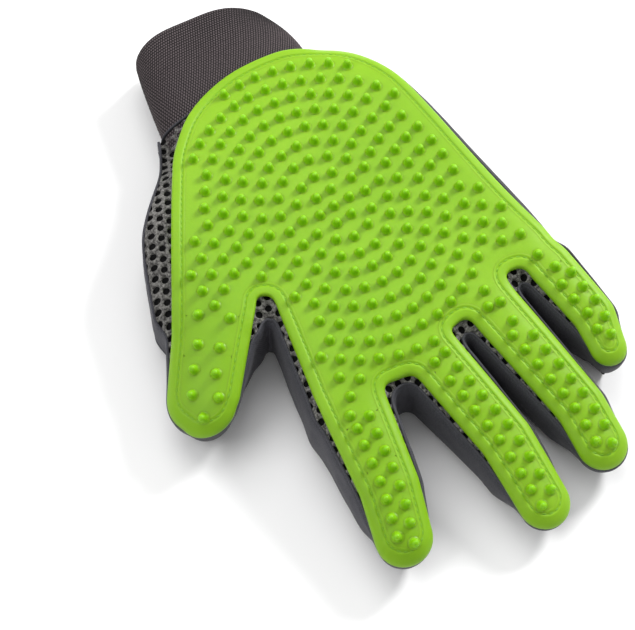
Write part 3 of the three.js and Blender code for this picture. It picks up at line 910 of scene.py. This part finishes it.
def pad_piece(zone):
    parts = Parts()
    for line, normals in runs(pad_edge, zone, lambda p: GROOVE_INSET):
        p, n, at = respaced(line, normals, OUTLINE_STEP)
        flat = np.vstack([p + n * (inset - GROOVE_INSET) for inset, _ in RIM_PROFILE])
        raised = np.repeat([height for _, height in RIM_PROFILE], len(p))
        parts.add(np.c_[flat, pad_skin(flat) + raised], strip_faces(len(RIM_PROFILE), len(p), flip=True))
        count = max(int(at[-1] / STITCH_PITCH), 1)
        marks = (np.arange(count) + 0.5) * at[-1] / count
        centre, ahead = sampled(marks, at, p), sampled(marks, at, np.gradient(p, axis=0))
        for c, a, up, z in zip(centre, ahead, surface_normals(centre, pad_skin), pad_skin(centre)):
            along = np.array([*a, 0.0])
            along -= up * (along @ up)
            along /= np.linalg.norm(along)
            parts.add(*stitch_mesh(np.array([*c, z - STITCH_SINK]), along, up), kind=1)
    low, high = zone_bounds(pad_edge, zone)
    if zone == "palm":
        low, high = pad_edge.points.min(0), pad_edge.points.max(0)
    p, quads = grid_patch(region(pad_edge, lambda p: FACE_INSET, zone), FACE_STEP, low, high)
    parts.add(np.c_[p, pad_skin(p)], quads)
    mine = NUBS[zone_depth(NUBS, zone) > 0]
    for c, z, up in zip(mine, pad_skin(mine), surface_normals(mine, pad_skin)):
        lean = np.array([*rng.uniform(-NUB_LEAN, NUB_LEAN, 2), 0.0])
        parts.add(*nub_mesh(np.array([*c, z]), up, lean), kind=2)
    made = parts.build(f"{zone}_rubber_pad", [PAD, THREAD, NUB_PAINTED_GLOW])
    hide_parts(f"{zone}_pad")
    hang(made, zone)


# ---- air mesh panels

PANEL_LAP = 0.2
NET_BULGE = 0.1
# depth under the net and grid step of the near-black sheet, painted shade seen through the holes
SHADE_SHEET_DEPTH, SHADE_SHEET_STEP = 0.85, 3.2
WRIST_END = 86.0
SLIT = {"left": 16.0, "right": 32.0, "start": 61.0, "corner": 5.0}
HOLE_RINGS = [(1.47, -0.02), (1.3, -0.2), (1.2, -0.5), (1.17, -0.92)]  # radius, height


def slit_depth(p, grow=0.0):
    """Distance inside the slit in the back of the hand, which is round at its inner end."""
    middle, half = (SLIT["left"] + SLIT["right"]) / 2, (SLIT["right"] - SLIT["left"]) / 2 + grow
    corner = SLIT["corner"] + grow
    q = np.c_[np.abs(p[:, 0] - middle) - half + corner, SLIT["start"] - grow + corner - p[:, 1]]
    outside = np.linalg.norm(np.maximum(q, 0), axis=1) + np.minimum(q.max(1), 0)
    return corner - outside


def lattice(field, height, low, high, side, plain=None):
    """Hexagonal net with round holes, its border pulled onto the field's edge. side is 1 for faces up."""
    row_step, corner, sides = HOLE_PITCH * math.sqrt(3) / 2, HOLE_PITCH / math.sqrt(3), 12
    rows = np.arange(math.floor(low[1] / row_step) - 1, math.ceil(high[1] / row_step) + 2)
    columns = np.arange(math.floor(low[0] / HOLE_PITCH) - 1, math.ceil(high[0] / HOLE_PITCH) + 2)
    row, column = np.meshgrid(rows, columns, indexing="ij")
    centres = np.c_[(HOLE_PITCH * (column + (row % 2) / 2)).ravel(), (row_step * row).ravel()]
    centres = centres[field(centres) > -corner]
    holed = np.ones(len(centres), bool) if plain is None else ~plain(centres)
    around = np.arange(sides)
    unit = np.c_[np.cos(around * math.pi / 6), np.sin(around * math.pi / 6)]
    rim = unit * np.where(around % 2 == 1, corner, HOLE_PITCH / 2)[:, None]
    outer = (centres[:, None] + rim).reshape(-1, 2)
    flat, index = np.unique(np.round(outer, 3), axis=0, return_inverse=True)
    index = index.reshape(-1, sides)
    raised, rings, holes = [NET_BULGE] * len(flat), [index[holed]], centres[holed]
    for radius, drop in HOLE_RINGS:
        rings.append(len(flat) + np.arange(len(holes) * sides).reshape(-1, sides))
        flat = np.vstack([flat, (holes[:, None] + unit * radius).reshape(-1, 2)])
        raised += [drop] * len(holes) * sides
    after = (around + 1) % sides
    faces = np.vstack([
        np.stack([wide, wide[:, after], narrow[:, after], narrow], -1).reshape(-1, 4)
        for wide, narrow in zip(rings[:-1], rings[1:])
    ])
    inside = field(flat)
    flat = snap(flat, field, np.nonzero(inside < 0)[0])
    kept = [f[(inside[f] > 0).any(1)][:, ::side] for f in (faces, index[~holed])]
    return np.c_[flat, height(flat) + side * np.array(raised)], [*kept[0], *kept[1]]


def trimmed(verts, faces):
    """Only the vertices that faces use, without faces of no area."""
    faces = [f for f in faces if len(set(map(tuple, np.round(verts[f], 3)))) > 2]
    used = np.unique(np.concatenate(faces))
    order = np.full(len(verts), -1)
    order[used] = np.arange(len(used))
    return verts[used], [order[f] for f in faces]


def short_of_wrist(p):
    return WRIST_END - p[:, 1]


def beside_slit(p):
    return -slit_depth(p, -0.5)


def panel_piece(zone, side):
    """Palm side (1) or back (-1) of the hand in a zone: the net outside and, under it, a near-black sheet,
    painted shade of the glove's inside seen through the holes.
    """
    face, word = (palm_top, "palm") if side > 0 else (back_face, "back")

    def inset(p):
        return seam_inset(p) - PANEL_LAP + (0 if side > 0 else tuck(p))

    def covered(p):
        return pad_edge.depth(p) > 2.5

    limits = [short_of_wrist] if zone == "palm" else []
    if zone == "palm" and side < 0:
        limits.append(beside_slit)
    field = region(body_edge, inset, zone, *limits)
    low, high = zone_bounds(body_edge, zone)
    if zone == "palm":
        low, high = body_edge.points.min(0), np.array([body_edge.points[:, 0].max(), WRIST_END])
    parts = Parts()
    parts.add(*trimmed(*lattice(field, face, low, high, side, covered if side > 0 else None)))
    p, quads = grid_patch(field, SHADE_SHEET_STEP, low, high)
    quads = quads[:, ::side]
    parts.add(np.c_[p, face(p) - side * SHADE_SHEET_DEPTH], quads, kind=1)
    made = parts.build(f"{zone}_{word}_air_mesh", [MESH, SHADE_SHEET])
    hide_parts(f"{word}_mesh" if zone == "palm" else f"{zone}_{word}_mesh")
    shade_sheet_points = np.c_[p, face(p)]
    hang(made, zone)


# ---- stretch gussets

GUSSET_ROWS = 17
GUSSET_STEP = 1.0
STRIP_SPACING = 200.0  # between the strips of one piece in their weave
PIPING = 0.5


def tube(centre, radius, up, sides=8, flat=1.0):
    """Cord along a line of points."""
    ahead = np.gradient(centre, axis=0)
    ahead /= np.linalg.norm(ahead, axis=1)[:, None]
    side = np.cross(up, ahead)
    side /= np.linalg.norm(side, axis=1)[:, None]
    lift = np.cross(ahead, side)
    angles = (np.arange(sides) * 2 * math.pi / sides)[:, None]
    rows = centre[:, None] + radius * (np.cos(angles) * side[:, None] + flat * np.sin(angles) * lift[:, None])
    return rows.reshape(-1, 3), strip_faces(len(centre), sides, closed=True)


def add_cord(parts, at, centre, radius, up, sides=8, flat=1.0, width=0.4):
    """Adds a cord of cloth round a line whose points lie at these lengths, with this width on each side."""
    uv = np.c_[np.repeat(at, sides), np.tile(np.arange(sides) * width, len(at))]
    parts.add(*tube(centre, radius, up, sides, flat), uv=uv)


def gusset_strip(parts, line, normals, number):
    """Adds a strip of stretch cloth between two piped seams, and returns its length and height."""
    p, n, at = respaced(line, normals, GUSSET_STEP)
    top, bottom = palm_top(p), back_face(p)
    deep, inset, drawn_in = np.maximum(top - bottom, 1.0), seam_inset(p), tuck(p)
    rows, uv = [], []
    for turn in np.linspace(0, math.pi, GUSSET_ROWS):
        share = (1 - math.cos(turn)) / 2
        bulge = (inset + 0.3) * math.sin(turn) ** 0.8
        z = top + (bottom - top) * share
        folds = 0.34 * value_noise(np.c_[p, z * 1.8], 8.5, 11) + 0.1 * value_noise(np.c_[p, z * 2.5], 3.6, 12)
        rows.append(np.c_[p - n * (bulge + folds * math.sin(turn) - drawn_in * share)[:, None], z])
        uv.append(np.c_[at + STRIP_SPACING * number, deep * share])
    parts.add(np.vstack(rows), strip_faces(GUSSET_ROWS, len(p)), uv=np.vstack(uv))
    for seam, lift in ((rows[0], 0.15), (rows[-1], -0.15)):
        add_cord(parts, at, seam + lift * UP, PIPING, UP)
    return float(at[-1]), float(deep.mean())


def gusset_piece(zone, name, nodes, strips):
    parts = Parts()
    sizes = np.array([gusset_strip(parts, *strip, number) for number, strip in enumerate(strips)])
    made = parts.build(f"{name}_stretch", [STRETCH])
    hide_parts(*nodes)
    hang(made, zone)


def gap_to(p, digit):
    """How far a point lies from the line where a digit's piece begins."""
    return abs(reach(p, digit)[0] + SPLIT_BEFORE_KNUCKLE) + max(-beside(p, digit)[0] - 2, 0)


def palm_gusset_node(line):
    """Node that a stretch of the palm's outline stands for, by the digits at its ends."""
    near = []
    for end in line[[0, -1]]:
        if short_of_wrist(end[None])[0] > 1:
            near.append(min(DIGITS, key=lambda name: gap_to(end[None], DIGITS[name])))
    near.sort(key=list(DIGITS).index)
    return "fork_" + "_".join(near) if len(near) == 2 else f"gusset_{near[0]}_edge"


def gussets(zone):
    strips = runs(body_edge, zone, seam_inset, *([short_of_wrist] if zone == "palm" else []))
    if zone == "palm":
        for strip in strips:
            node = palm_gusset_node(strip[0])
            gusset_piece(zone, node, [node], [strip])
        return
    name = f"{zone}_gusset"
    nodes = [name] if zone.endswith("tip") else [f"{name}_{side}_side" for side in ("thumb", "little")]
    gusset_piece(zone, name, nodes, strips)


for zone in ZONES:
    pad_piece(zone)
    panel_piece(zone, 1)
    panel_piece(zone, -1)
    gussets(zone)

# ---- elastic cuff

CUFF_WALL = 1.3
HEM = 4.0
CUFF_SAMPLES = 12000  # for the lengths round the cuff
BUMP_ROWS = (0.1, 1.0, 0.8)  # a bump's share of its height in its three rows


def cuff_angles(y, share):
    """Angles round the cuff at shares of the way from one side of the slit to the other."""
    centre, half = cuff_span(y)
    right, left = (
        math.acos(math.copysign(abs((x - centre) / half) ** (SECTION_POWER / 2), x - centre))
        for x in (SLIT["right"], SLIT["left"])
    )
    return -right + (2 * math.pi - left + right) * share


def cuff_point(y, angles, depth=0.0):
    """Points of the cuff's section at y, at a depth under its face."""
    centre, half = cuff_span(y)
    c, s = np.cos(angles), np.sin(angles)
    aside = (half - depth) * np.sign(c) * np.abs(c) ** (2 / SECTION_POWER)
    z = CUFF_MIDDLE + (CUFF_HALF_HEIGHT - depth) * np.sign(s) * np.abs(s) ** (2 / SECTION_POWER)
    t = cuff_share(y)
    arch = CUFF_ARCH[0] - CUFF_ARCH[1] * np.abs(aside / half) ** 3
    return np.c_[centre + aside, y - CUFF_SKEW * aside * t + arch * t**3, z]


def cuff_ring(y, step, depth=0.0):
    """Points that lie evenly round the cuff at y, as many as fit at its seam, and how far along they are."""
    fine = np.linspace(0, 1, CUFF_SAMPLES)
    seam, here = (lengths_along(cuff_point(at_y, cuff_angles(at_y, fine))) for at_y in (WRIST_Y, y))
    share = np.linspace(0, 1, int(round(seam[-1] / step)) + 1)
    angles = cuff_angles(y, np.interp(share * here[-1], here, fine))
    return cuff_point(y, angles, depth(share) if callable(depth) else depth), share * seam[-1]


def cuff_sag(y, share):
    """Soft dents of the elastic where nothing fills it."""
    t = cuff_share(y)
    return 0.5 * t * np.sin(share * 9.0 + 1.0) + 0.3 * t * np.sin(share * 23.0)


def cuff_piece():
    y_open = CUFF_PLAN_END - CUFF_WALL / 2
    step, lines = WEAVE["around"] / 4, int((y_open - WRIST_Y) / WEAVE["along"])
    _, at = cuff_ring(WRIST_Y, step)
    verts, woven = [], []

    def add_ring(y, depth, out=0.0, further=None):
        ring, _ = cuff_ring(y, step, lambda share: cuff_sag(y, share) + depth(share))
        verts.append(ring + out * NORTH)
        woven.append(y - WRIST_Y if further is None else woven[-1] + further)

    for j, y in enumerate(np.linspace(WRIST_Y, y_open, len(BUMP_ROWS) * lines + 1)):
        line, bump = divmod(j, len(BUMP_ROWS))
        add_ring(y, lambda share: -WEAVE["height"] * BUMP_ROWS[bump] * (
            0.5 + 0.5 * np.cos(2 * math.pi * (share * at[-1] / WEAVE["around"] + line * WEAVE["shift"]))))
    for turn in np.linspace(0.3, math.pi, 5):
        turned_in = CUFF_WALL / 2 * (1 - math.cos(turn))
        add_ring(y_open, lambda share: turned_in, CUFF_WALL / 2 * math.sin(turn), 0.4)
    verts.append(cuff_ring(y_open - HEM, step, lambda share: cuff_sag(y_open, share) + CUFF_WALL)[0])
    woven.append(woven[-1] + HEM)
    parts = Parts()
    uv = np.c_[np.tile(at, len(woven)), np.repeat(woven, len(at))]
    parts.add(np.vstack(verts), strip_faces(len(verts), len(at)), uv=uv)
    # the cuff's inside face in the near-black sheet: painted shade inside the cuff
    inner = [cuff_ring(y, 1.5, lambda share: cuff_sag(y, share) + CUFF_WALL - 0.15)[0]
             for y in np.linspace(WRIST_Y, y_open - 0.5, 20)]
    parts.add(np.vstack(inner), strip_faces(len(inner), len(inner[0]), flip=True), kind=1)
    made = parts.build("elastic_cuff_weave", [ELASTIC, SHADE_SHEET])
    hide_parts("elastic_cuff")
    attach(made, "palm")


def wrist_seam():
    """Welt where the mesh panels are sewn to the cuff."""
    parts = Parts()
    ring, at = cuff_ring(WRIST_END - 0.3, 0.9, -0.35)
    add_cord(parts, at, ring, 0.75, NORTH, flat=0.55, width=0.5)
    made = parts.build("wrist_seam_welt", [STRETCH])
    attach(made, "palm")


# ---- closure

BINDING = {"lobe": 0.825, "short": 1.0, "insets": ((0.75, 3), (2.15, 4))}  # inset and noise seed of each lobe
INSERT = {"lap": 3.0, "thickness": 0.9, "short": 2.0}
STEP_UP = (65.0, 79.0)  # where the back steps up to the cuff


def under_face(p):
    """Outer face of the back panel and of the cuff's underside."""
    t = smoothstep(*STEP_UP, p[:, 1])
    return (1 - t) * back_face(p) + t * (CUFF_MIDDLE - cuff_rise(p))


def slit_path(inset, step=0.7):
    """Line round the slit's edge, from the open end on its thumb side to the open end on the other."""
    left, right, start = SLIT["left"] + inset, SLIT["right"] - inset, SLIT["start"] + inset
    corner, end = SLIT["corner"] - inset, CUFF_PLAN_END - BINDING["short"]
    turn = np.linspace(0, math.pi / 2, 9)
    aside, down = corner * (1 - np.sin(turn)), corner * (1 - np.cos(turn))
    line = np.vstack([
        [(left, end), (left, start + corner)],
        np.c_[left + down, start + aside], np.c_[right - aside, start + down],
        [(right, start + corner), (right, end)],
    ])
    lengths = lengths_along(line)
    at = np.linspace(0, lengths[-1], int(lengths[-1] / step))
    return sampled(at, lengths, line), at


def binding_piece():
    """Folded placket along the slit: two soft lobes side by side."""
    parts = Parts()
    for inset, seed in BINDING["insets"]:
        p, at = slit_path(inset)
        lift = 0.7 + 0.12 * value_noise(np.c_[at, 0 * at], 9.0, seed)
        centre = np.c_[p, under_face(p) + lift]
        add_cord(parts, at, centre, BINDING["lobe"], UP, sides=12, flat=0.85)
    made = parts.build("slit_placket", [STRETCH])
    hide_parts("slit_binding")
    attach(made, "palm")


def insert_piece():
    """Soft stretch panel that closes the slit from inside."""
    lap, end = INSERT["lap"], CUFF_PLAN_END - INSERT["short"]
    xs = np.arange(SLIT["left"] - lap, SLIT["right"] + lap + 0.5, 1.0)
    ys = np.arange(SLIT["start"] - lap, end + 0.5, 1.0)
    p, faces = grid(xs, ys)
    rise = 1.9 + 4.1 * smoothstep(*STEP_UP, p[:, 1])
    folds = 0.35 * value_noise(p * [1.0, 0.25], 3.0, 21) + 0.12 * value_noise(p, 4.0, 22)
    z = rise + 0.45 + folds
    parts = Parts()
    parts.add(np.c_[p, z + INSERT["thickness"] / 2], faces)
    parts.add(np.c_[p, z - INSERT["thickness"] / 2], faces[:, ::-1])
    made = parts.build("slit_insert_stretch", [STRETCH])
    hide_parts("slit_insert")
    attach(made, "palm")


def rounded_plate(parts, sides, corner, profile):
    """Closed plate with round corners: a ring for each (inset, height) of the profile, from below up."""
    x0, x1, y0, y1 = sides
    turn, ring = np.linspace(0, math.pi / 2, 8), []
    for quarter, (cx, cy) in enumerate(((x1, y1), (x0, y1), (x0, y0), (x1, y0))):
        angle = turn + quarter * math.pi / 2
        cx += corner if cx == x0 else -corner
        cy += corner if cy == y0 else -corner
        ring.append(np.c_[cx + corner * np.cos(angle), cy + corner * np.sin(angle)])
    outline = spaced(np.vstack(ring), 1.0)
    _, inward = directions(outline)
    rows = [np.c_[outline + inward * inset, np.full(len(outline), height)] for inset, height in profile]
    size = len(rows), len(outline)
    parts.add(np.vstack(rows), [*strip_faces(*size, closed=True), *end_caps(*size)])


TAB_CORNER = 4.0
TAB_PROFILE = [
    (2.4, 0.16), (2.1, 0.16), (1.9, 0.02), (0.5, 0.0), (0.15, 0.12), (0.0, 0.4), (0.0, 1.0), (0.15, 1.28),
    (0.5, 1.4), (1.7, 1.4), (1.95, 1.36), (2.15, 1.2), (2.5, 1.18),
]
PATCH_PLAN, PATCH_CORNER = (34.0, 46.0, 89.0, 107.0), 1.5
HOOK_PITCH = 0.95
LOOPS_ON_PATCH = 420


def tab_piece():
    x0, _, y0, y1 = TAB_PLAN
    parts = Parts()
    rounded_plate(parts, TAB_PLAN, TAB_CORNER, TAB_PROFILE)
    for y in np.arange(y0 + 3, y1 - 2, 2.6):
        for x in (x0 + 3.2, x0 + 5.0):
            for z, up in ((1.22, UP), (0.12, -UP)):
                parts.add(*stitch_mesh(np.array([x, y, z]), NORTH, up), kind=1)
    made = parts.build("closure_tab_rubber", [TAB, HOOKS])
    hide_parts("closure_tab")
    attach(made, "tab")


def heights(node):
    """Lowest and highest point of a CAD node."""
    return [1000 * corner.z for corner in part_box(node)]


def hook_piece():
    (low, _), (x0, x1, y0, y1) = heights("hook_patch"), PATCH_PLAN
    parts = Parts()
    profile = [(0.1, low - 0.28), (0, low - 0.1), (0, low + 0.2), (0.2, low + 0.28)]
    rounded_plate(parts, PATCH_PLAN, PATCH_CORNER, profile)
    bend = np.linspace(0, 1, 5)
    lean, rise = 0.32 * bend**2, low + 0.2 + 0.45 * np.sin(bend * 2.2)
    for i, x in enumerate(np.arange(x0 + 0.9, x1 - 0.6, HOOK_PITCH)):
        for y in np.arange(y0 + 0.9 + 0.4 * (i % 2), y1 - 0.6, HOOK_PITCH):
            parts.add(*tube(np.c_[x + lean, y + 0 * bend, rise], 0.11, NORTH + 0.01 * UP, sides=5))
    made = parts.build("hook_patch_tape", [HOOKS])
    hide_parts("hook_patch")
    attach(made, "tab")


def loop_piece():
    (low, high), (x0, x1, y0, y1) = heights("loop_patch"), PATCH_PLAN
    parts = Parts()
    profile = [(0.2, low + 0.25), (0, low + 0.35), (0, high), (0.2, high + 0.3)]
    rounded_plate(parts, PATCH_PLAN, PATCH_CORNER, profile)
    arc = np.linspace(0, math.pi, 6)
    for _ in range(LOOPS_ON_PATCH):
        x, y = rng.uniform(x0 + 0.8, x1 - 0.8), rng.uniform(y0 + 0.8, y1 - 0.8)
        angle = rng.uniform(0, math.pi)
        c, s, out = math.cos(angle), math.sin(angle), 0.4 * np.cos(arc)
        loop = np.c_[x + out * c, y + out * s, low + 0.3 - 0.3 * np.sin(arc)]
        parts.add(*tube(loop, 0.06, np.array([s, -c, 0.01]), sides=4))
    made = parts.build("loop_patch_tape", [LOOPS])
    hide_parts("loop_patch")
    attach(made, "palm")


cuff_piece()
wrist_seam()
binding_piece()
insert_piece()
tab_piece()
hook_piece()
loop_piece()

# ---- floor, light and camera

CAMERA_AZIMUTH, CAMERA_ELEVATION, CAMERA_DISTANCE = -36, 62, 1.0
FLOOR_HALF, FLOOR_GAP = 6.0, 0.0002


def towards(azimuth, elevation):
    """Unit direction from the glove, azimuth 0 looking along +Y."""
    a, e = math.radians(azimuth), math.radians(elevation)
    return Vector((math.sin(a) * math.cos(e), -math.cos(a) * math.cos(e), math.sin(e)))


def aimed(name, data, place, turn):
    made = linked(name, data)
    made.location = place
    made.rotation_mode = "QUATERNION"
    made.rotation_quaternion = turn
    return made


back = towards(CAMERA_AZIMUTH, CAMERA_ELEVATION)
lens = bpy.data.cameras.new("camera")
lens.lens, lens.sensor_width = 170.0, 36.0
lens.clip_start, lens.clip_end = 0.01, 20
aim = Vector(to_frame([[0, 0, 15]])[0])
camera = aimed("camera", lens, aim + back * CAMERA_DISTANCE, (-back).to_track_quat("-Z", "Y"))
bpy.context.scene.camera = camera

floor_mesh = bpy.data.meshes.new("floor")
corners = [(x * FLOOR_HALF, y * FLOOR_HALF, 0) for x, y in ((-1, -1), (1, -1), (1, 1), (-1, 1))]
floor_mesh.from_pydata(corners, [], [(0, 1, 2, 3)])
ground = Shader("floor", Roughness=0.9)
ground.colour(ground.ramp(ground.noise(ground.place(), 3.0), (0.0, 0.86), (1.0, 0.9)))
floor_mesh.materials.append(ground.material)
below = min(0.0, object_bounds()[0].z, cad_box[0].z) - FLOOR_GAP
floor = linked("floor", floor_mesh)
floor.location.z = below


def soft_light(name, azimuth, elevation, distance, size, power):
    lamp = bpy.data.lights.new(name, "AREA")
    lamp.shape, lamp.size, lamp.energy = "DISK", size, power
    direction = towards(azimuth, elevation)
    aimed(name, lamp, direction * distance, direction.to_track_quat("Z", "Y"))


soft_light("key", 97, 35, 1.3, 0.4, 17.5)
soft_light("top", 165, 60, 1.4, 1.1, 8)
soft_light("fill", -115, 48, 1.6, 1.2, 9)
world = bpy.data.worlds.new("studio")
world.use_nodes = True
world.node_tree.nodes["Background"].inputs["Color"].default_value = (1, 1, 1, 1)
world.node_tree.nodes["Background"].inputs["Strength"].default_value = 0.56
bpy.context.scene.world = world
bpy.context.scene.view_settings.view_transform = "Standard"
